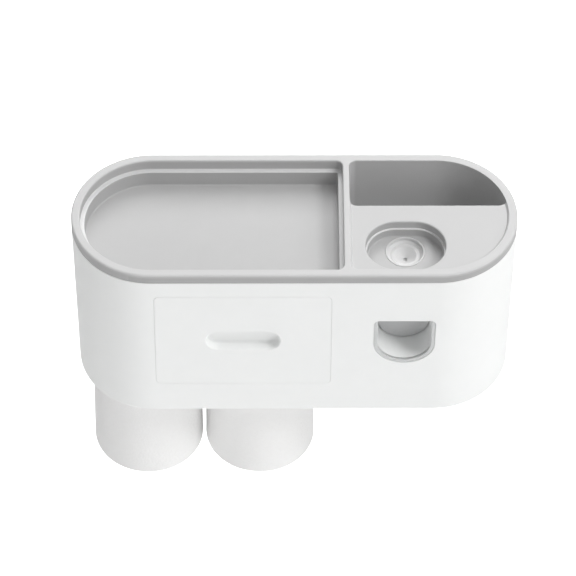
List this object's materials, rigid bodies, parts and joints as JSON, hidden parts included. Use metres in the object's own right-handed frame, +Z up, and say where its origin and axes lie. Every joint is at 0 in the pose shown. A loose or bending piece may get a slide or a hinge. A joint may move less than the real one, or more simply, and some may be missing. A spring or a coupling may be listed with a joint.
{
  "type": "wall-mounted tumbler holder",
  "caption": "Stadium-shaped white wall organiser with a grey lift-out tray, flush drawer, toothpaste squeezer and tumblers hung mouth down from magnets.",
  "frame": {"origin": "centre of the adhesive pad's wall-side face, on the wall", "axes": "+Z up, +Y into the wall, +X to the right as seen from the front"},
  "size_m": [0.2912, 0.1061, 0.2254],
  "materials": {
    "white_shell": "satin white ABS",
    "grey_tray": "fine-grained light grey ABS",
    "pebbled_white": "finely pebbled white",
    "translucent_grey": "milky translucent",
    "silicone": "matte grey silicone",
    "tape_foam": "foam mounting tape",
    "steel": "bright steel",
    "magnet_plating": "nickel-plated magnet"
  },
  "bodies": {
    "wall": {"adhesive_pad": "tape_foam", "wall_bracket": "white_shell"},
    "housing": {"housing": "white_shell", "magnet_left": "magnet_plating", "magnet_right": "magnet_plating", "magnet_cap_left": "white_shell", "magnet_cap_right": "white_shell", "squeezer_body": "white_shell", "squeezer_rear_cover": "white_shell", "dispenser_bezel": "translucent_grey", "nozzle_seat": "silicone", "inlet_valve": "silicone", "outlet_nozzle": "silicone", "duct_plug": "silicone", "return_spring": "steel", "mounting_screw_1": "steel", "mounting_screw_2": "steel", "cover_screw_1": "steel", "cover_screw_2": "steel"},
    "tray": {"storage_tray": "grey_tray"},
    "drawer": {"drawer_box": "white_shell", "drawer_front": "white_shell"},
    "pusher": {"push_block": "white_shell"},
    "pump": {"pump_piston": "white_shell", "piston_seal": "silicone"},
    "tumbler_left": {"tumbler_left": "pebbled_white", "tumbler_plate_left": "steel"},
    "tumbler_right": {"tumbler_right": "pebbled_white", "tumbler_plate_right": "steel"}
  },
  "joints": [
    {"name": "housing_lift", "type": "slide", "parent": "wall", "child": "housing", "axis": [0, 0, 1], "range_m": [0, 0.009]},
    {"name": "tray_lift", "type": "slide", "parent": "housing", "child": "tray", "axis": [0, 0, 1], "range_m": [0, 0.048]},
    {"name": "drawer_slide", "type": "slide", "parent": "housing", "child": "drawer", "axis": [0, -1, 0], "range_m": [0, 0.07]},
    {"name": "pusher_slide", "type": "slide", "parent": "housing", "child": "pusher", "axis": [0, 1, 0], "range_m": [0, 0.008], "stiffness_N_per_m": 300, "springref_m": -0.01, "deforming": ["return_spring"]},
    {"name": "pump_lift", "type": "slide", "parent": "housing", "child": "pump", "axis": [0, 0, 1], "range_m": [0, 0.006]},
    {"name": "tumbler_left_pull", "type": "slide", "parent": "housing", "child": "tumbler_left", "axis": [0, 0, -1], "range_m": [0, 0.02]},
    {"name": "tumbler_right_pull", "type": "slide", "parent": "housing", "child": "tumbler_right", "axis": [0, 0, -1], "range_m": [0, 0.02]}
  ],
  "couplings": [
    {"joint": "pump_lift", "follows": "pusher_slide", "ratio": 0.75}
  ]
}
